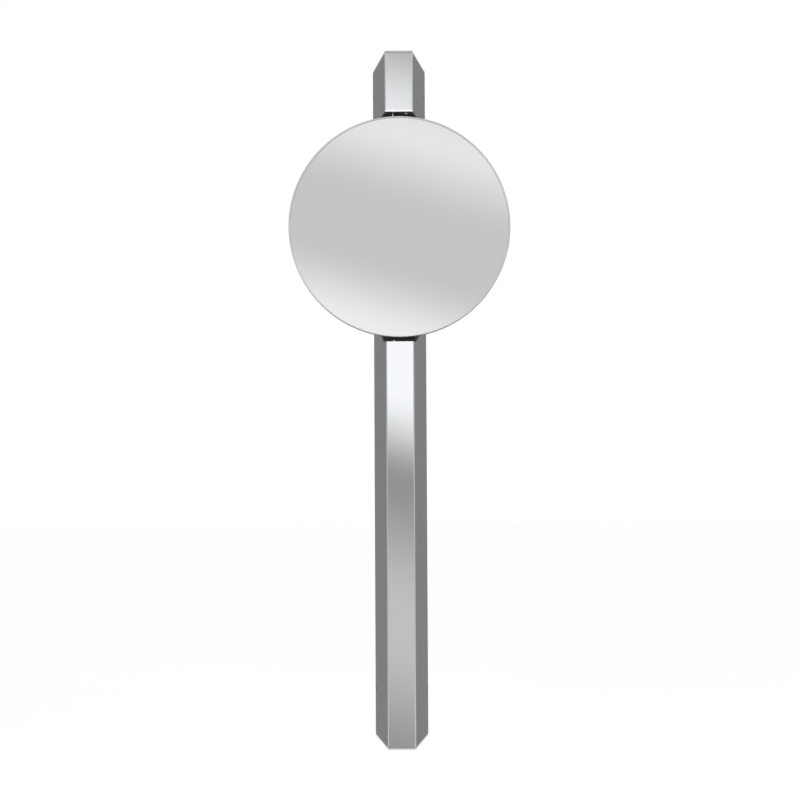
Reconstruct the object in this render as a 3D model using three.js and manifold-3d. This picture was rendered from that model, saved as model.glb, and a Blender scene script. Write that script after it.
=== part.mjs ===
// Wall-hung shaving mirror on a vertical bar: the round mirror rides on a two-stage folding scissor arm
// that packs away in a recess of the bar. Millimetres, +Z up, the mirror faces -Y, wall face at y = 0.
import * as THREE from "three";
import { mergeVertices } from "three/addons/utils/BufferGeometryUtils.js";
import Module from "manifold-3d";

const wasm = await Module();
wasm.setup();

// ---- driving dimensions -------------------------------------------------
const BAR_H = 700; // height of the bar
const BAR_D = 72; // depth, wall to front face
const BACK_W = 55; // width at the wall
const FRONT_W = 27.6; // width of the front face
const WALL = 2.4; // wall of the extrusion
const CAP_T = 1.7; // visible thickness of the end caps
const GAP = 0.3; // gap between touching pieces
const NOTCH_LO = 56.7; // recess, lower end at the front face
const NOTCH_HI = 288.5; // recess, upper end
const NOTCH_Y = -38; // recess floor
const SILL_Y = -59; // the lower end is a nearly level sill back to here, then a ramp
const SILL_RISE = 0.7; // rise of the sill from front to back
const RAMP = 0.443; // slope of the ramp behind the sill
const MIRROR_D = 221.3; // over the rim
const MIRROR_Z = 171.1; // height of the mirror's centre
const LINK_L = 182; // scissor link, pivot to pivot
const LINK_W = 11.6;
const LINK_T = 2.5;
const FOLD = 4.4; // degrees from vertical when folded
const ROW_Z = 87; // lower row of pivots
const REAR_Y = -11.8; // rear column of pivots
const PIN_R = 2; // pins
const HOLE_R = 2.35; // holes for the pins
const AXIS_Y = -58; // swivel and tilt axes cross here

const half = (y) => BACK_W / 2 - ((BACK_W - FRONT_W) / 2) * (-y / BAR_D); // half-width of the bar at y
const sin = Math.sin((FOLD * Math.PI) / 180);
const cos = Math.cos((FOLD * Math.PI) / 180);
const MID_Y = REAR_Y - LINK_L * sin;
const FRONT_Y = REAR_Y - 2 * LINK_L * sin;
const TOP_Z = ROW_Z + LINK_L * cos;

// ---- materials ----------------------------------------------------------
const mat = (color, metalness, roughness) => new THREE.MeshStandardMaterial({ color, metalness, roughness });
const M = {
  profile: mat(0x85878a, 0.7, 0.45),
  polished: mat(0xe4e6e8, 1.0, 0.08),
  steel: mat(0xb9bcbf, 1.0, 0.3),
  black: mat(0x161718, 0.1, 0.5),
  nylon: mat(0xd8d6cf, 0.0, 0.6),
  chrome: mat(0xd5d8dc, 1.0, 0.12),
  mirror: mat(0xd6d8dd, 1.0, 0.03),
  cap: mat(0x9a9c9e, 0.8, 0.35),
};

// ---- solids -------------------------------------------------------------
function solid(geo, matrix) {
  if (matrix) geo.applyMatrix4(matrix);
  geo.deleteAttribute("normal");
  if (geo.attributes.uv) geo.deleteAttribute("uv");
  const g = mergeVertices(geo, 1e-4);
  const pos = g.attributes.position.array;
  const idx = g.index.array;
  const tri = [];
  for (let i = 0; i < idx.length; i += 3)
    if (idx[i] !== idx[i + 1] && idx[i + 1] !== idx[i + 2] && idx[i] !== idx[i + 2]) tri.push(idx[i], idx[i + 1], idx[i + 2]);
  return new wasm.Manifold(new wasm.Mesh({ numProp: 3, vertProperties: new Float32Array(pos), triVerts: new Uint32Array(tri) }));
}
const box = (x0, x1, y0, y1, z0, z1) =>
  solid(new THREE.BoxGeometry(x1 - x0, y1 - y0, z1 - z0), new THREE.Matrix4().makeTranslation((x0 + x1) / 2, (y0 + y1) / 2, (z0 + z1) / 2));
function shape(points, holes = []) {
  const s = new THREE.Shape(points.map(([a, b]) => new THREE.Vector2(a, b)));
  for (const h of holes) s.holes.push(new THREE.Path(h.map(([a, b]) => new THREE.Vector2(a, b))));
  return s;
}
const extrude = (s, depth) => new THREE.ExtrudeGeometry(s, { depth, bevelEnabled: false, curveSegments: 8 });
// outline in x, y, run along z
const prismZ = (pts, z0, z1, holes) => solid(extrude(shape(pts, holes), z1 - z0), new THREE.Matrix4().makeTranslation(0, 0, z0));
// outline in y, z, run along x
const prismX = (pts, x0, x1, holes) =>
  solid(extrude(shape(pts, holes), x1 - x0), new THREE.Matrix4().set(0, 0, 1, x0, 1, 0, 0, 0, 0, 1, 0, 0, 0, 0, 0, 1));
// outline in x, z, run along y (from y1, the nearer, back to y0)
const prismY = (pts, y0, y1, holes) =>
  solid(extrude(shape(pts, holes), y1 - y0), new THREE.Matrix4().set(1, 0, 0, 0, 0, 0, -1, y1, 0, 1, 0, 0, 0, 0, 0, 1));
// profile of (radius, distance along the axis), turned about an axis
function turn(profile, seg, basis, at) {
  const geo = new THREE.LatheGeometry(profile.map(([r, h]) => new THREE.Vector2(Math.max(r, 0), h)), seg);
  const m = new THREE.Matrix4();
  if (basis === "x") m.makeRotationZ(-Math.PI / 2);
  if (basis === "z") m.makeRotationX(Math.PI / 2);
  m.premultiply(new THREE.Matrix4().makeTranslation(...at));
  let s = solid(geo, m);
  if (s.volume() < 0) {
    const g2 = new THREE.LatheGeometry(profile.slice().reverse().map(([r, h]) => new THREE.Vector2(Math.max(r, 0), h)), seg);
    s = solid(g2, m);
  }
  return s;
}
const rod = (r, a, b, seg, basis, at) => turn([[0, a], [r, a], [r, b], [0, b]], seg, basis, at);
const tube = (r, ri, a, b, seg, basis, at) => turn([[ri, a], [r, a], [r, b], [ri, b], [ri, a]], seg, basis, at);

const circle = (cy, cz, r, n = 12, turnBy = 0) =>
  Array.from({ length: n }, (_, i) => {
    const a = turnBy + (i / n) * 2 * Math.PI;
    return [cy + r * Math.cos(a), cz + r * Math.sin(a)];
  });
// a long rounded outline between two points
function stadium(ay, az, by, bz, r, n = 7) {
  const dir = Math.atan2(bz - az, by - ay);
  const pts = [];
  for (let i = 0; i <= n; i++) {
    const t = dir - Math.PI / 2 + (i / n) * Math.PI;
    pts.push([by + r * Math.cos(t), bz + r * Math.sin(t)]);
  }
  for (let i = 0; i <= n; i++) {
    const t = dir + Math.PI / 2 + (i / n) * Math.PI;
    pts.push([ay + r * Math.cos(t), az + r * Math.sin(t)]);
  }
  return pts;
}

const root = new THREE.Group();
function add(name, s, material) {
  const m = s.getMesh();
  const geo = new THREE.BufferGeometry();
  geo.setAttribute("position", new THREE.BufferAttribute(new Float32Array(m.vertProperties), 3));
  geo.setIndex(new THREE.BufferAttribute(new Uint32Array(m.triVerts), 1));
  geo.computeVertexNormals();
  const mesh = new THREE.Mesh(geo, material);
  mesh.name = name;
  root.add(mesh);
}

// ---- bar ----------------------------------------------------------------
const section = (inset, y0, y1) => [
  [-(half(y0) - inset), y0],
  [half(y0) - inset, y0],
  [half(y1) - inset, y1],
  [-(half(y1) - inset), y1],
];
const STRIP_T = 1.5;
const z0 = -BAR_H / 2 + CAP_T + GAP;
const z1 = BAR_H / 2 - CAP_T - GAP;
const hollow = section(WALL, 1, -BAR_D + WALL + 1.8);
const FACE_Y = -BAR_D + STRIP_T + GAP; // front of the extrusion, behind the strip
let profile = prismZ(section(0, 0, FACE_Y).reverse(), z0, z1).subtract(prismZ(hollow.slice().reverse(), z0 - 1, z1 + 1));
// lips at the wall that hold the wall plate
for (const s of [-1, 1]) {
  const lip = [
    [s * (half(0) - 1.2), 0],
    [s * (half(0) - 5.2), 0],
    [s * (half(0) - 5.2), -1.6],
    [s * (half(-1.6) - 1.2), -1.6],
  ];
  profile = profile.add(prismZ(s > 0 ? lip.slice().reverse() : lip, z0, z1));
}
const SILL_Z = NOTCH_LO + SILL_RISE;
const rampAt = (y) => SILL_Z + RAMP * (y - SILL_Y);
profile = profile.subtract(
  prismX(
    [
      [-BAR_D - 2, NOTCH_LO],
      [-BAR_D, NOTCH_LO],
      [SILL_Y, SILL_Z],
      [NOTCH_Y, rampAt(NOTCH_Y)],
      [NOTCH_Y, NOTCH_HI],
      [-BAR_D - 2, NOTCH_HI],
    ],
    -40,
    40
  )
);
// holes for the side screws of the wall plate
for (const z of [-300, 320]) for (const s of [-1, 1]) profile = profile.subtract(rod(1.9, s > 0 ? 20 : -30, s > 0 ? 30 : -20, 16, "x", [0, -5.4, z]));
add("bar_profile", profile, M.profile);

const strip = (a, b) => {
  const back = -BAR_D + STRIP_T;
  const edge = -BAR_D + 0.45;
  const c = 0.8; // width of the chamfered edges
  const pts = [
    [-half(back), back],
    [half(back), back],
    [half(edge), edge],
    [half(-BAR_D) - c, -BAR_D],
    [-half(-BAR_D) + c, -BAR_D],
    [-half(edge), edge],
  ];
  return prismZ(pts.slice().reverse(), a, b);
};
// the upper strip ends in a bevelled lower edge at the recess
const bevel = prismX(
  [
    [-BAR_D - 1, NOTCH_HI - 0.8],
    [-BAR_D + 1.05, NOTCH_HI - 0.8],
    [-BAR_D - 0.35, NOTCH_HI + 2.4],
    [-BAR_D - 1, NOTCH_HI + 2.4],
  ],
  -20,
  20
);
add("front_strip_upper", strip(NOTCH_HI, z1).subtract(bevel), M.polished);
add("front_strip_lower", strip(z0, NOTCH_LO), M.polished);

// end caps: a plate of the full section and a ring plug inside the bar
function cap(sign) {
  const zf = sign > 0 ? BAR_H / 2 - CAP_T : -BAR_H / 2;
  const e = 0.4;
  let s = prismZ(section(0, 0, -BAR_D).reverse(), zf, zf + CAP_T);
  const out = section(WALL + GAP, -5.6, -BAR_D + WALL + 1.8 + GAP).reverse();
  const inn = section(WALL + 2.6, -8, -BAR_D + WALL + 4.8).reverse();
  const pa = sign > 0 ? zf - 9 : zf + CAP_T - e;
  const pb = sign > 0 ? zf + e : zf + CAP_T + 9;
  s = s.add(prismZ(out, pa, pb).subtract(prismZ(inn, pa - 1, pb + 1)));
  // screw boss
  s = s.add(rod(5, sign > 0 ? zf - 8 : zf + CAP_T - e, sign > 0 ? zf + e : zf + CAP_T + 8, 14, "z", [0, -34, 0]));
  s = s.subtract(rod(2.05, -400, 400, 14, "z", [0, -34, 0]));
  s = s.subtract(rod(4.1, sign > 0 ? zf + 0.5 : zf - 1, sign > 0 ? zf + 5 : zf + CAP_T - 0.5, 14, "z", [0, -34, 0]));
  return s;
}
add("end_cap_top", cap(1), M.cap);
add("end_cap_bottom", cap(-1), M.cap);
// countersunk cap screws with a cross slot
function capScrew(sign) {
  const zf = sign > 0 ? BAR_H / 2 : -BAR_H / 2;
  const d = -sign;
  const prof = [[0, 0.15], [3.7, 0.15], [3.7, 0.9], [1.75, 0.9], [1.75, 9.2], [0, 9.2]].map(([r, h]) => [r, zf + d * h]);
  let s = turn(prof, 14, "z", [0, -34, 0]);
  for (const [w, l] of [[0.45, 2.4], [2.4, 0.45]]) s = s.subtract(box(-w, w, -34 - l, -34 + l, Math.min(zf - sign * 0.7, zf + sign), Math.max(zf - sign * 0.7, zf + sign)));
  return s;
}
add("cap_screw_top", capScrew(1), M.steel);
add("cap_screw_bottom", capScrew(-1), M.steel);

// wall plate with three countersunk holes for the wall screws
const PLATE_W = 44;
let plate = box(-PLATE_W / 2, PLATE_W / 2, -4.6, -0.4, -338, 338);
plate = plate.subtract(box(-PLATE_W / 2 - 1, PLATE_W / 2 + 1, -7, -3.2, 60, 287));
plate = plate.subtract(box(-PLATE_W / 2 + 6, PLATE_W / 2 - 6, -7, -3.2, -400, 400));
for (const z of [-318, -60, 316]) {
  plate = plate.subtract(rod(2.8, -10, 10, 14, "y", [0, 0, z]));
  plate = plate.subtract(turn([[0, -3.3], [5.4, -3.3], [2.8, -1.4], [0, -1.4]], 14, "y", [0, 0, z]));
}
// pad between the lips that rests on the wall
plate = plate.add(box(-21.6, 21.6, -0.8, 0, -338, 338).subtract(rod(6.4, -10, 10, 14, "y", [0, 0, -318])).subtract(rod(6.4, -10, 10, 14, "y", [0, 0, -60])).subtract(rod(6.4, -10, 10, 14, "y", [0, 0, 316])));
for (const z of [96, 262]) plate = plate.subtract(rod(1.9, -10, 10, 12, "y", [0, 0, z]));
add("wall_plate", plate, M.steel);

// black end blocks of the recess
const BL = 0.35;
let upper = prismZ(section(WALL + BL, -5.2, -BAR_D + WALL + 1.8 + BL).reverse(), NOTCH_HI + 0.7, NOTCH_HI + 15);
upper = upper.subtract(box(-16, 16, -30, -8, NOTCH_HI + 5, NOTCH_HI + 20));
const CREST_Y = -42.5; // back edge of the lower block's ramp
let lower = prismZ(section(WALL + BL, -5.2, -BAR_D + WALL + 1.8 + BL).reverse(), NOTCH_LO - 15, NOTCH_LO + 20);
lower = lower.subtract(
  prismX(
    [
      [-BAR_D - 2, NOTCH_LO - 0.7],
      [-BAR_D, NOTCH_LO - 0.7],
      [SILL_Y, SILL_Z - 0.7],
      [CREST_Y, rampAt(CREST_Y) - 0.7],
      [CREST_Y, NOTCH_LO - 0.7],
      [0, NOTCH_LO - 0.7],
      [0, NOTCH_LO + 30],
      [-BAR_D - 2, NOTCH_LO + 30],
    ],
    -40,
    40
  )
);
lower = lower.subtract(box(-16, 16, -30, -8, NOTCH_LO - 20, NOTCH_LO - 5));
// on the left a slim stop pin, on the right a small screw
const STOP_X = -6.1;
const STOP_Y = -66.2;
const BS_X = 7.3;
const BS_Y = -65.2;
for (const [x, y, r] of [[STOP_X, STOP_Y, 0.9], [BS_X, BS_Y, 1.15]]) {
  upper = upper.subtract(rod(r, NOTCH_HI - 2, NOTCH_HI + 9, 12, "z", [x, y, 0]));
  lower = lower.subtract(rod(r, NOTCH_LO - 9, NOTCH_LO + 4, 12, "z", [x, y, 0]));
}
add("recess_block_upper", upper, M.black);
add("recess_block_lower", lower, M.black);
add("stop_pin_upper", turn([[0, NOTCH_HI - 3.8], [0.35, NOTCH_HI - 3.8], [0.55, NOTCH_HI - 3.5], [0.55, NOTCH_HI + 8], [0, NOTCH_HI + 8]], 12, "z", [STOP_X, STOP_Y, 0]), M.chrome);
add("stop_pin_lower", turn([[0, NOTCH_LO - 8], [0.55, NOTCH_LO - 8], [0.55, NOTCH_LO + 1.6], [0.35, NOTCH_LO + 1.9], [0, NOTCH_LO + 1.9]], 12, "z", [STOP_X, STOP_Y, 0]), M.chrome);
add(
  "block_screw_upper",
  turn([[0, NOTCH_HI - 0.9], [0.9, NOTCH_HI - 0.9], [1.3, NOTCH_HI - 0.45], [1.3, NOTCH_HI + 0.35], [0.8, NOTCH_HI + 0.35], [0.8, NOTCH_HI + 8], [0, NOTCH_HI + 8]], 12, "z", [BS_X, BS_Y, 0]),
  M.chrome
);
add(
  "block_screw_lower",
  turn([[0, NOTCH_LO - 8], [0.8, NOTCH_LO - 8], [0.8, NOTCH_LO + 0.05], [1.3, NOTCH_LO + 0.05], [1.3, NOTCH_LO + 0.4], [1.0, NOTCH_LO + 0.7], [0, NOTCH_LO + 0.7]], 12, "z", [BS_X, BS_Y, 0]),
  M.chrome
);

// arm housing: a black channel with a slot and a pivot hole in each cheek
const CH_X = 13;
const CH_T = 2;
const HZ0 = 61.6;
const HZ1 = 286.4;
let housing = box(-CH_X - CH_T, CH_X + CH_T, -5.4, -3.5, HZ0, HZ1);
const slotTop = TOP_Z;
const slotBot = ROW_Z + LINK_L * Math.cos((70 * Math.PI) / 180) - 1.5;
for (const s of [-1, 1]) {
  const a = s > 0 ? CH_X : -CH_X - CH_T;
  let cheek = prismX(
    [
      [-5.4 + 0.3, HZ0],
      [-5.4 + 0.3, HZ1],
      [-26, HZ1],
      [-31, HZ1 - 5],
      [-31, HZ0 + 5],
      [-26, HZ0],
    ].reverse(),
    a,
    a + CH_T,
    [circle(REAR_Y, ROW_Z, HOLE_R, 12, 0.26), stadium(REAR_Y, slotBot, REAR_Y, slotTop + 0.4, 3.75, 6)]
  );
  housing = housing.add(cheek);
}
for (const z of [96, 262]) housing = housing.subtract(rod(2.3, -10, 0, 12, "y", [0, 0, z]));
add("arm_housing", housing, M.black);
for (const [z, n] of [[96, "lower"], [262, "upper"]])
  add("housing_screw_" + n, turn([[0, -6.9], [2.4, -6.9], [3.2, -6.3], [3.2, -5.7], [1.6, -5.7], [1.6, -1], [0, -1]], 12, "y", [0, 0, z]), M.steel);
// rear pivot pin, riveted outside the cheeks
const pin = (halfLen, headR, headT, y, z, headStart) =>
  turn(
    [
      [0, -headStart - headT],
      [headR * 0.75, -headStart - headT],
      [headR, -headStart - headT * 0.5],
      [headR, -headStart],
      [PIN_R, -headStart],
      [PIN_R, headStart],
      [headR, headStart],
      [headR, headStart + headT * 0.5],
      [headR * 0.75, headStart + headT],
      [0, headStart + headT],
    ],
    14,
    "x",
    [0, y, z]
  );
add("rear_pivot_pin", pin(0, 3.6, 1.2, REAR_Y, ROW_Z, CH_X + CH_T + GAP), M.steel);

// ---- scissor links ------------------------------------------------------
const OUT = 6.0; // inner face of the outer plates
const INN = 3.0; // inner face of the inner plates
function link(ay, az, by, bz, x0) {
  const holes = [circle(ay, az, HOLE_R, 12, 0.26), circle((ay + by) / 2, (az + bz) / 2, HOLE_R, 12, 0.26), circle(by, bz, HOLE_R, 12, 0.26)];
  return prismX(stadium(ay, az, by, bz, LINK_W / 2, 7), x0, x0 + LINK_T, holes);
}
const pair = (name, ay, az, by, bz, inner) => {
  add(name + "_left", link(ay, az, by, bz, -inner - LINK_T), M.steel);
  add(name + "_right", link(ay, az, by, bz, inner), M.steel);
};
pair("link_a1", REAR_Y, ROW_Z, MID_Y, TOP_Z, OUT);
pair("link_b1", MID_Y, ROW_Z, REAR_Y, TOP_Z, INN);
pair("link_a2", MID_Y, ROW_Z, FRONT_Y, TOP_Z, OUT);
pair("link_b2", FRONT_Y, ROW_Z, MID_Y, TOP_Z, INN);
const OUT_END = OUT + LINK_T;
// spacers on the rear pivot between the outer plates and the cheeks
add("pivot_spacer_left", tube(4, HOLE_R, -CH_X + GAP, -OUT_END - GAP, 14, "x", [0, REAR_Y, ROW_Z]), M.nylon);
add("pivot_spacer_right", tube(4, HOLE_R, OUT_END + GAP, CH_X - GAP, 14, "x", [0, REAR_Y, ROW_Z]), M.nylon);
// centre and joint pins, riveted over the outer plates
const CY1 = (REAR_Y + MID_Y) / 2;
const CY2 = (MID_Y + FRONT_Y) / 2;
const CZ = (ROW_Z + TOP_Z) / 2;
add("centre_pin_rear", pin(0, 3.2, 0.7, CY1, CZ, OUT_END + 0.25), M.chrome);
add("centre_pin_front", pin(0, 3.2, 0.7, CY2, CZ, OUT_END + 0.25), M.chrome);
add("joint_pin_upper", pin(0, 3.2, 0.7, MID_Y, TOP_Z, OUT_END + 0.25), M.chrome);
add("joint_pin_lower", pin(0, 3.2, 0.7, MID_Y, ROW_Z, OUT_END + 0.25), M.chrome);
for (const [n, y, z] of [["centre_spacer_rear", CY1, CZ], ["centre_spacer_front", CY2, CZ], ["joint_spacer_upper", MID_Y, TOP_Z], ["joint_spacer_lower", MID_Y, ROW_Z]])
  add(n, tube(3.8, HOLE_R, -INN + GAP, INN - GAP, 14, "x", [0, y, z]), M.nylon);
// rear slide pin and its bushes, which run in the slots of the housing
add("rear_slide_pin", pin(0, 4.6, 1.1, REAR_Y, TOP_Z, CH_X + CH_T + 0.75), M.steel);
for (const [s, side] of [[-1, "left"], [1, "right"]]) {
  const prof = [[HOLE_R, INN + LINK_T + GAP], [3.4, INN + LINK_T + GAP], [3.4, CH_X + CH_T + 0.45], [HOLE_R, CH_X + CH_T + 0.45], [HOLE_R, INN + LINK_T + GAP]].map(([r, h]) => [r, s * h]);
  add("rear_slide_bush_" + side, turn(prof, 14, "x", [0, REAR_Y, TOP_Z]), M.nylon);
}

// ---- mirror bracket -----------------------------------------------------
const BR_X = 9.8;
const BR_T = 1.5;
const BR_W = 6.2; // half-width of a cheek
const BR_TOP = TOP_Z + 6.4;
const WEB_Y0 = FRONT_Y - BR_W;
const WEB_Y1 = WEB_Y0 - 2;
let bracket = null;
for (const s of [-1, 1]) {
  const a = s > 0 ? BR_X : -BR_X - BR_T;
  const cheek = prismX(stadium(FRONT_Y, ROW_Z, FRONT_Y, BR_TOP - BR_W, BR_W, 7), a, a + BR_T, [
    circle(FRONT_Y, ROW_Z, HOLE_R, 12, 0.26),
    stadium(FRONT_Y, slotBot, FRONT_Y, TOP_Z + 0.3, 3.3, 6),
  ]);
  bracket = bracket ? bracket.add(cheek) : cheek;
}
const LUG_IN = 8.4;
const LUG_T = 2.6;
for (const s of [-1, 1]) {
  const a = MIRROR_Z + (s > 0 ? LUG_IN : -46);
  bracket = bracket.add(box(-BR_X - BR_T, BR_X + BR_T, WEB_Y1, WEB_Y0, a, a + 46 - LUG_IN));
  for (const x of [-BR_X - BR_T, BR_X]) bracket = bracket.add(box(x, x + BR_T, WEB_Y1 + 0.2, WEB_Y0 + 0.6, a, a + 46 - LUG_IN));
  // lug with a rounded end
  const pts = [[-4.4, WEB_Y1 + 0.5]];
  for (let i = 0; i <= 8; i++) {
    const t = Math.PI + (i / 8) * Math.PI;
    pts.push([4.4 * Math.cos(t), AXIS_Y + 4.4 * Math.sin(t)]);
  }
  pts.push([4.4, WEB_Y1 + 0.5]);
  const za = MIRROR_Z + (s > 0 ? LUG_IN : -LUG_IN - LUG_T);
  bracket = bracket.add(prismZ(pts, za, za + LUG_T, [circle(0, AXIS_Y, HOLE_R, 12, 0.26)]));
}
add("mirror_bracket", bracket, M.steel);
add("front_pivot_pin", pin(0, 3.6, 1.0, FRONT_Y, ROW_Z, BR_X + BR_T + GAP), M.steel);
for (const [s, side] of [[-1, "left"], [1, "right"]]) {
  const t = [[HOLE_R, INN + LINK_T + GAP], [3.6, INN + LINK_T + GAP], [3.6, BR_X - GAP], [HOLE_R, BR_X - GAP], [HOLE_R, INN + LINK_T + GAP]].map(([r, h]) => [r, s * h]);
  add("front_pivot_spacer_" + side, turn(t, 14, "x", [0, FRONT_Y, ROW_Z]), M.nylon);
  const b = [[HOLE_R, OUT_END + GAP], [3.0, OUT_END + GAP], [3.0, BR_X + BR_T + 0.3], [HOLE_R, BR_X + BR_T + 0.3], [HOLE_R, OUT_END + GAP]].map(([r, h]) => [r, s * h]);
  add("front_slide_bush_" + side, turn(b, 14, "x", [0, FRONT_Y, TOP_Z]), M.nylon);
}
add("front_slide_pin", pin(0, 4.0, 1.0, FRONT_Y, TOP_Z, BR_X + BR_T + 0.6), M.steel);

// ---- cross block --------------------------------------------------------
const Q = 5.5;
const QZ = 8.0;
let block = prismZ(
  [
    [-Q + 1.2, AXIS_Y - 4.8],
    [Q - 1.2, AXIS_Y - 4.8],
    [Q, AXIS_Y - 3.6],
    [Q, AXIS_Y + 3.6],
    [Q - 1.2, AXIS_Y + 4.8],
    [-Q + 1.2, AXIS_Y + 4.8],
    [-Q, AXIS_Y + 3.6],
    [-Q, AXIS_Y - 3.6],
  ],
  MIRROR_Z - QZ,
  MIRROR_Z + QZ
);
for (const s of [-1, 1]) {
  block = block.subtract(rod(HOLE_R, s > 0 ? 2.8 : -10, s > 0 ? 10 : -2.8, 14, "x", [0, AXIS_Y, MIRROR_Z]));
  block = block.subtract(rod(HOLE_R, s > 0 ? MIRROR_Z + 2.8 : MIRROR_Z - 10, s > 0 ? MIRROR_Z + 10 : MIRROR_Z - 2.8, 14, "z", [0, AXIS_Y, 0]));
}
add("cross_block", block, M.black);
for (const [s, n] of [[-1, "lower"], [1, "upper"]]) {
  const e = LUG_IN + LUG_T + GAP;
  add("swivel_pin_" + n, turn([[0, 3.1], [PIN_R, 3.1], [PIN_R, e], [3.3, e], [3.3, e + 0.9], [2.5, e + 1.4], [0, e + 1.4]].map(([r, h]) => [r, MIRROR_Z + s * h]), 14, "z", [0, AXIS_Y, 0]), M.chrome);
}
const TL_IN = 5.9;
const TL_T = 3;
for (const [s, n] of [[-1, "left"], [1, "right"]]) {
  const e = TL_IN + TL_T + GAP;
  add("tilt_pin_" + n, turn([[0, 3.1], [PIN_R, 3.1], [PIN_R, e], [3.3, e], [3.3, e + 0.7], [2.5, e + 1.1], [0, e + 1.1]].map(([r, h]) => [r, s * h]), 14, "x", [0, AXIS_Y, MIRROR_Z]), M.chrome);
}

// ---- mirror -------------------------------------------------------------
const R = MIRROR_D / 2;
const FY = -79.8; // front of the rim
const HUB_Y0 = -66.9;
const HUB_Y1 = -69.3;
let hub = rod(24, HUB_Y1, HUB_Y0, 28, "y", [0, 0, MIRROR_Z]);
for (const s of [-1, 1]) {
  const pts = [[HUB_Y0 - 0.5, MIRROR_Z - 4.6]];
  for (let i = 0; i <= 8; i++) {
    const t = -Math.PI / 2 + (i / 8) * Math.PI;
    pts.push([AXIS_Y + 4.6 * Math.cos(t), MIRROR_Z + 4.6 * Math.sin(t)]);
  }
  pts.push([HUB_Y0 - 0.5, MIRROR_Z + 4.6]);
  const a = s > 0 ? TL_IN : -TL_IN - TL_T;
  hub = hub.add(prismX(pts, a, a + TL_T, [circle(AXIS_Y, MIRROR_Z, HOLE_R, 12, 0.26)]));
}
const hubHoles = [90, 210, 330].map((d) => [18 * Math.cos((d * Math.PI) / 180), MIRROR_Z + 18 * Math.sin((d * Math.PI) / 180)]);
let back = turn(
  [
    [0, -69.6],
    [78, -69.6],
    [R - 1.05, -71.6],
    [R - 1.05, -74.2],
    [R - 3.35, -74.2],
    [R - 3.35, -73.2],
    [77.6, -71.2],
    [0, -71.2],
  ],
  72,
  "y",
  [0, 0, MIRROR_Z]
);
for (const [x, z] of hubHoles) {
  hub = hub.subtract(rod(1.9, -80, -60, 12, "y", [x, 0, z]));
  back = back.subtract(rod(1.9, -80, -60, 12, "y", [x, 0, z]));
}
add("mirror_hub", hub, M.steel);
add("mirror_back", back, M.steel);
hubHoles.forEach(([x, z], i) =>
  add("hub_screw_" + (i + 1), turn([[0, -65.2], [2.2, -65.2], [2.9, -65.8], [2.9, -66.6], [1.55, -66.6], [1.55, -73.2], [0, -73.2]].map(([r, h]) => [r, h]), 12, "y", [x, 0, z]), M.steel)
);
add("mirror_glass", turn([[0, -74.5], [R - 1.05, -74.5], [R - 1.05, -78.5], [R - 1.4, -78.95], [0, -78.95]], 96, "y", [0, 0, MIRROR_Z]), M.mirror);
add(
  "mirror_rim",
  turn(
    [
      [R - 2.25, -71.0],
      [R, -71.0],
      [R, -79.45],
      [R - 0.35, FY],
      [R - 1.3, FY],
      [R - 1.3, -79.25],
      [R - 0.75, -79.25],
      [R - 0.75, -71.3],
      [R - 2.25, -71.3],
      [R - 2.25, -71.0],
    ],
    96,
    "y",
    [0, 0, MIRROR_Z]
  ),
  M.chrome
);

export default root;
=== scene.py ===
import math
import bpy
import bmesh
from mathutils import Matrix, Vector

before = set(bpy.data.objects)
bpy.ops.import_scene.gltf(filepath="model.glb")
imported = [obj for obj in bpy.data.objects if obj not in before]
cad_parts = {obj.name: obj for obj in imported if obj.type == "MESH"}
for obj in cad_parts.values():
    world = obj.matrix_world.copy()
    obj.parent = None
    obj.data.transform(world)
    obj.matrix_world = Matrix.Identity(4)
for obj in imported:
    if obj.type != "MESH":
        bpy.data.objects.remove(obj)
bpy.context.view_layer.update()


# ---------------------------------------------------------------- materials
def new_mat(name):
    m = bpy.data.materials.new(name)
    m.use_nodes = True
    nt = m.node_tree
    nt.nodes.clear()
    out = nt.nodes.new("ShaderNodeOutputMaterial")
    sh = nt.nodes.new("ShaderNodeBsdfPrincipled")
    nt.links.new(sh.outputs["BSDF"], out.inputs["Surface"])
    return m, nt, sh


def noise(nt, scale, stretch=(1, 1, 1), detail=4.0, rough=0.55):
    tc = nt.nodes.new("ShaderNodeTexCoord")
    mp = nt.nodes.new("ShaderNodeMapping")
    mp.inputs["Scale"].default_value = stretch
    n = nt.nodes.new("ShaderNodeTexNoise")
    n.inputs["Scale"].default_value = scale
    n.inputs["Detail"].default_value = detail
    n.inputs["Roughness"].default_value = rough
    nt.links.new(tc.outputs["Object"], mp.inputs["Vector"])
    nt.links.new(mp.outputs["Vector"], n.inputs["Vector"])
    return n.outputs["Fac"]


def spread(nt, fac, lo, hi, a=0.3, b=0.7):
    r = nt.nodes.new("ShaderNodeMapRange")
    r.inputs["From Min"].default_value = a
    r.inputs["From Max"].default_value = b
    r.inputs["To Min"].default_value = lo
    r.inputs["To Max"].default_value = hi
    nt.links.new(fac, r.inputs["Value"])
    return r.outputs["Result"]


def tint(nt, fac, c0, c1, a=0.3, b=0.7):
    r = nt.nodes.new("ShaderNodeValToRGB")
    r.color_ramp.elements[0].position = a
    r.color_ramp.elements[0].color = (*c0, 1)
    r.color_ramp.elements[1].position = b
    r.color_ramp.elements[1].color = (*c1, 1)
    nt.links.new(fac, r.inputs["Fac"])
    return r.outputs["Color"]


def bump(nt, sh, fac, strength, dist):
    b = nt.nodes.new("ShaderNodeBump")
    b.inputs["Strength"].default_value = strength
    b.inputs["Distance"].default_value = dist
    nt.links.new(fac, b.inputs["Height"])
    nt.links.new(b.outputs["Normal"], sh.inputs["Normal"])


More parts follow.
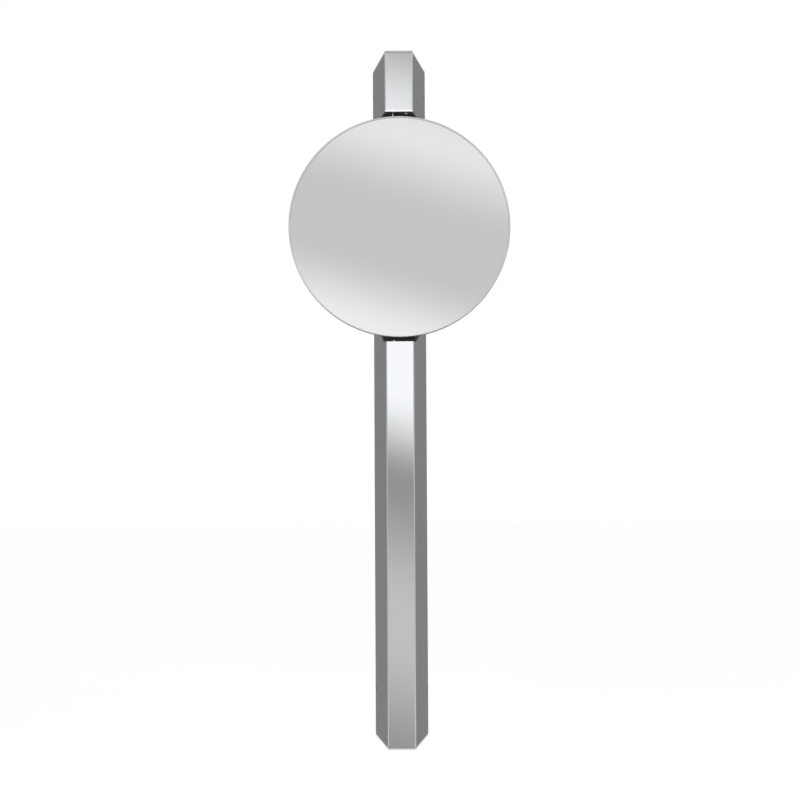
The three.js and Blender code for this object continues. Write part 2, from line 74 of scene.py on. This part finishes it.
def metal(name, c0, c1, r0, r1, scale=60, stretch=(1, 1, 1), metallic=1.0, bumps=(0.1, 0.00003), spec=0.5, aniso=0.0):
    m, nt, sh = new_mat(name)
    sh.inputs["Metallic"].default_value = metallic
    sh.inputs["Specular IOR Level"].default_value = spec
    if aniso:
        sh.inputs["Anisotropic"].default_value = aniso
    f = noise(nt, scale, stretch)
    nt.links.new(tint(nt, f, c0, c1), sh.inputs["Base Color"])
    nt.links.new(spread(nt, f, r0, r1), sh.inputs["Roughness"])
    if bumps:
        bump(nt, sh, f, *bumps)
    return m


MATS = {
    # brushed lines run along the bar
    "anodised": metal("anodised", (0.083, 0.087, 0.086), (0.094, 0.098, 0.097), 0.42, 0.52, 900, (1, 1, 0.012), 0.35, (0.12, 0.00002), 0.25),
    "polished": metal("polished", (0.92, 0.945, 0.96), (0.93, 0.955, 0.97), 0.02, 0.04, 35, (1, 1, 0.05), 1.0, None),
    "cap": metal("cap", (0.60, 0.605, 0.61), (0.64, 0.645, 0.65), 0.38, 0.44, 260, (1, 0.05, 1), 0.9, None),
    "steel": metal("steel", (0.56, 0.565, 0.57), (0.66, 0.665, 0.67), 0.24, 0.36, 900, (1, 1, 0.02), 1.0, (0.15, 0.00002)),
    "turned": metal("turned", (0.58, 0.585, 0.59), (0.68, 0.685, 0.69), 0.2, 0.3, 500, (0.1, 1, 1), 1.0, (0.1, 0.00002)),
    "chrome": metal("chrome", (0.80, 0.81, 0.82), (0.84, 0.85, 0.86), 0.05, 0.09, 25, (1, 1, 1), 1.0, None),
    "rim": metal("rim", (0.86, 0.865, 0.87), (0.90, 0.905, 0.91), 0.10, 0.16, 120, (1, 1, 1), 1.0, None),
    # painted shade: a dark copy of the rim metal for the rim's outer wall, in place of the dark it reflects
    "rim_side_painted_shade": metal("rim_side_painted_shade", (0.085, 0.087, 0.09), (0.11, 0.112, 0.115), 0.35, 0.45, 320, (1, 1, 1), 0.6, (0.08, 0.00002), 0.3),
    "ground_edge": metal("ground_edge", (0.40, 0.405, 0.41), (0.44, 0.445, 0.45), 0.22, 0.30, 300, (1, 1, 0.05), 1.0, None),
    "back_shell": metal("back_shell", (0.52, 0.525, 0.53), (0.56, 0.565, 0.57), 0.3, 0.38, 260, (1, 1, 1), 0.6, (0.12, 0.00004)),
    "black_metal": metal("black_metal", (0.010, 0.010, 0.011), (0.018, 0.018, 0.019), 0.45, 0.58, 420, (1, 1, 1), 0.0, (0.25, 0.00008)),
    "black_plastic": metal("black_plastic", (0.009, 0.009, 0.010), (0.014, 0.014, 0.015), 0.5, 0.62, 300, (1, 1, 1), 0.0, (0.2, 0.00006)),
    "nylon": metal("nylon", (0.66, 0.64, 0.57), (0.74, 0.72, 0.66), 0.45, 0.55, 220, (1, 1, 1), 0.0, (0.1, 0.00004)),
    "mirror_glass": metal("mirror_glass", (0.852, 0.842, 0.862), (0.858, 0.846, 0.866), 0.006, 0.02, 14, (1, 1, 1), 1.0, None),
}
ROWS = {
    "anodised": ["bar_profile"],
    "polished": ["front_strip_upper", "front_strip_lower"],
    "cap": ["end_cap_top", "end_cap_bottom"],
    "steel": ["wall_plate", "mirror_bracket", "mirror_hub", "cap_screw_top", "cap_screw_bottom"]
    + ["link_%s_%s" % (a, b) for a in ("a1", "b1", "a2", "b2") for b in ("left", "right")],
    "turned": ["housing_screw_lower", "housing_screw_upper", "rear_pivot_pin", "rear_slide_pin", "front_pivot_pin", "front_slide_pin", "hub_screw_1", "hub_screw_2", "hub_screw_3"],
    "rim": ["mirror_rim"],
    "chrome": ["stop_pin_upper", "stop_pin_lower", "block_screw_upper", "block_screw_lower", "centre_pin_rear", "centre_pin_front", "joint_pin_upper", "joint_pin_lower", "swivel_pin_upper", "swivel_pin_lower", "tilt_pin_left", "tilt_pin_right"],
    "back_shell": ["mirror_back"],
    "black_metal": ["arm_housing"],
    "black_plastic": ["recess_block_upper", "recess_block_lower", "cross_block"],
    "nylon": ["pivot_spacer_left", "pivot_spacer_right", "centre_spacer_rear", "centre_spacer_front", "joint_spacer_upper", "joint_spacer_lower", "rear_slide_bush_left", "rear_slide_bush_right", "front_pivot_spacer_left", "front_pivot_spacer_right", "front_slide_bush_left", "front_slide_bush_right"],
    "mirror_glass": ["mirror_glass"],
}
for mat_name, nodes in ROWS.items():
    for n in nodes:
        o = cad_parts[n]
        o.data.materials.clear()
        o.data.materials.append(MATS[mat_name])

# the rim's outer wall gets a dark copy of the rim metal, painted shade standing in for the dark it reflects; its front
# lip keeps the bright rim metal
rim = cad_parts["mirror_rim"]
rim.data.materials.append(MATS["rim_side_painted_shade"])
for p in rim.data.polygons:
    p.material_index = 1 if abs(p.normal.y) < 0.9 else 0

# the strips' long chamfers are ground, not polished
for n in ("front_strip_upper", "front_strip_lower"):
    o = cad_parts[n]
    o.data.materials.append(MATS["ground_edge"])
    for p in o.data.polygons:
        p.material_index = 1 if abs(p.normal.x) > 0.2 else 0

# softened edges
BEVEL = {
    "bar_profile": 0.0004, "front_strip_upper": 0.0002, "front_strip_lower": 0.0002, "end_cap_top": 0.0003, "end_cap_bottom": 0.0003,
    "wall_plate": 0.0003, "mirror_bracket": 0.00025, "mirror_hub": 0.0003, "cross_block": 0.0004, "arm_housing": 0.0002,
    "recess_block_upper": 0.0003, "recess_block_lower": 0.0003, "mirror_rim": 0.00035, "mirror_back": 0.0003,
}
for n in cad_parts:
    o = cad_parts[n]
    w = BEVEL.get(n, 0.00025 if n.startswith("link") else 0.00012)
    b = o.modifiers.new("edge", "BEVEL")
    b.width = w
    b.segments = 2
    b.limit_method = "ANGLE"
    b.angle_limit = math.radians(32)
    b.harden_normals = False
    for p in o.data.polygons:
        p.use_smooth = False
    if n in ("mirror_rim", "mirror_back", "mirror_hub") or "pin" in n or "bush" in n or "spacer" in n or "screw" in n:
        for p in o.data.polygons:
            p.use_smooth = True
        o.data.set_sharp_from_angle(angle=math.radians(32)) if hasattr(o.data, "set_sharp_from_angle") else None


# ---------------------------------------------------------------- studio
def plane(name, pts, mat):
    me = bpy.data.meshes.new(name)
    me.from_pydata(pts, [], [(0, 1, 2, 3)])
    o = bpy.data.objects.new(name, me)
    bpy.context.scene.collection.objects.link(o)
    o.data.materials.append(mat)
    return o


pale, nt, sh = new_mat("pale")
f = noise(nt, 0.6)
nt.links.new(tint(nt, f, (0.955, 0.955, 0.955), (0.965, 0.965, 0.965)), sh.inputs["Base Color"])
sh.inputs["Roughness"].default_value = 0.9
sh.inputs["Specular IOR Level"].default_value = 0.0
plane("floor", [(-14, -3.6, -1.25), (14, -3.6, -1.25), (14, 24, -1.25), (-14, 24, -1.25)], pale)

# plain soft studio: a fill, a few soft boxes in front, white behind
w = bpy.data.worlds.new("studio")
bpy.context.scene.world = w
w.use_nodes = True
nt = w.node_tree
nt.nodes.clear()
out = nt.nodes.new("ShaderNodeOutputWorld")
bg = nt.nodes.new("ShaderNodeBackground")
nt.links.new(bg.outputs[0], out.inputs[0])
tc = nt.nodes.new("ShaderNodeTexCoord")
sep = nt.nodes.new("ShaderNodeSeparateXYZ")
nt.links.new(tc.outputs["Generated"], sep.inputs[0])


def op(kind, a, b=None, clamp=False):
    n = nt.nodes.new("ShaderNodeMath")
    n.operation = kind
    n.use_clamp = clamp
    for i, v in enumerate((a, b)):
        if v is None:
            continue
        if isinstance(v, (int, float)):
            n.inputs[i].default_value = v
        else:
            nt.links.new(v, n.inputs[i])
    return n.outputs[0]


def band(v, centre, half_height, soft):
    # 1 inside a box, falling smoothly to 0 over its soft edge
    m = nt.nodes.new("ShaderNodeMapRange")
    m.interpolation_type = "SMOOTHSTEP"
    m.inputs["From Min"].default_value = half_height + soft
    m.inputs["From Max"].default_value = half_height
    nt.links.new(op("ABSOLUTE", op("SUBTRACT", v, centre)), m.inputs["Value"])
    return m.outputs[0]


X, Y, Z = sep.outputs
front = op("MAXIMUM", op("MULTIPLY", Y, -1.0), 0.05)
side = op("DIVIDE", X, front)
# the soft boxes in front all lean by the same angle
level = op("ADD", op("DIVIDE", Z, front), op("MULTIPLY", side, 0.3))
FILL = 0.30
# height (slope above level), half height, soft edge, brightness
BOXES = [
    (0.15, 0.09, 0.08, 0.35),  # one wide box
    (0.07, 0.02, 0.06, 0.35),  # a lamp low in it
    (0.27, 0.01, 0.07, 0.30),  # a lamp high in it
    (-0.12, 0.01, 0.10, 0.25),  # a small box below level
]
row = FILL
for centre, half_height, soft, bright in BOXES:
    row = op("ADD", op("MULTIPLY", band(level, centre, half_height, soft), bright), row)
# the pale floor far below and the ceiling far above
row = op("ADD", row, op("MULTIPLY", band(level, -1.0, 0.5, 0.25), 0.45))
row = op("ADD", row, op("MULTIPLY", band(level, 1.0, 0.4, 0.25), 0.50))
# the boxes stand only straight out in front
near = op("SUBTRACT", 1.0, op("MULTIPLY", op("SUBTRACT", op("ABSOLUTE", side), 0.55), 2.0), clamp=True)
fwd = op("MULTIPLY", op("GREATER_THAN", op("MULTIPLY", Y, -1.0), 0.2), near)
rest = op("ADD", 0.62, op("MULTIPLY", op("MAXIMUM", Z, 0.0), 0.9))
mixed = op("ADD", op("MULTIPLY", row, fwd), op("MULTIPLY", rest, op("SUBTRACT", 1.0, fwd)))
# the open background behind the object is plain white
soft_edge = nt.nodes.new("ShaderNodeMapRange")
soft_edge.interpolation_type = "SMOOTHSTEP"
soft_edge.inputs["From Min"].default_value = -0.1
soft_edge.inputs["From Max"].default_value = 0.5
nt.links.new(Y, soft_edge.inputs["Value"])
behind = soft_edge.outputs[0]
total = op("ADD", op("MULTIPLY", mixed, op("SUBTRACT", 1.0, behind)), op("MULTIPLY", 1.0, behind))
nt.links.new(total, bg.inputs["Color"])
bg.inputs["Strength"].default_value = 1.0


def area(name, loc, target, size, energy):
    ld = bpy.data.lights.new(name, "AREA")
    ld.shape = "RECTANGLE"
    ld.size, ld.size_y = size
    ld.energy = energy
    o = bpy.data.objects.new(name, ld)
    o.location = loc
    o.rotation_euler = (Vector(target) - Vector(loc)).to_track_quat("-Z", "Y").to_euler()
    bpy.context.scene.collection.objects.link(o)
    return o


area("side_left", (-2.2, -1.1, 0.0), (0, 0, 0.0), (1.4, 4.4), 7)
area("side_right", (2.2, -1.1, 0.0), (0, 0, 0.0), (2.8, 4.4), 17)
area("over", (0.0, -0.7, 2.0), (0, 0, 0), (1.6, 1.0), 10)

# ---------------------------------------------------------------- camera
cam = bpy.data.cameras.new("camera")
cam.sensor_width = 36.0
cam.lens = 60.0
PITCH = 1.37
ROLL = -0.293
cam.shift_x = -0.0028
cam.shift_y = 0.04
cam.clip_start = 0.01
co = bpy.data.objects.new("camera", cam)
bpy.context.scene.collection.objects.link(co)
co.matrix_world = Matrix.Translation((0.00176, -1.40473, -0.06596)) @ Matrix.Rotation(math.radians(90 + PITCH), 4, "X") @ Matrix.Rotation(math.radians(ROLL), 4, "Z")
bpy.context.scene.camera = co
bpy.context.scene.view_settings.view_transform = "Standard"
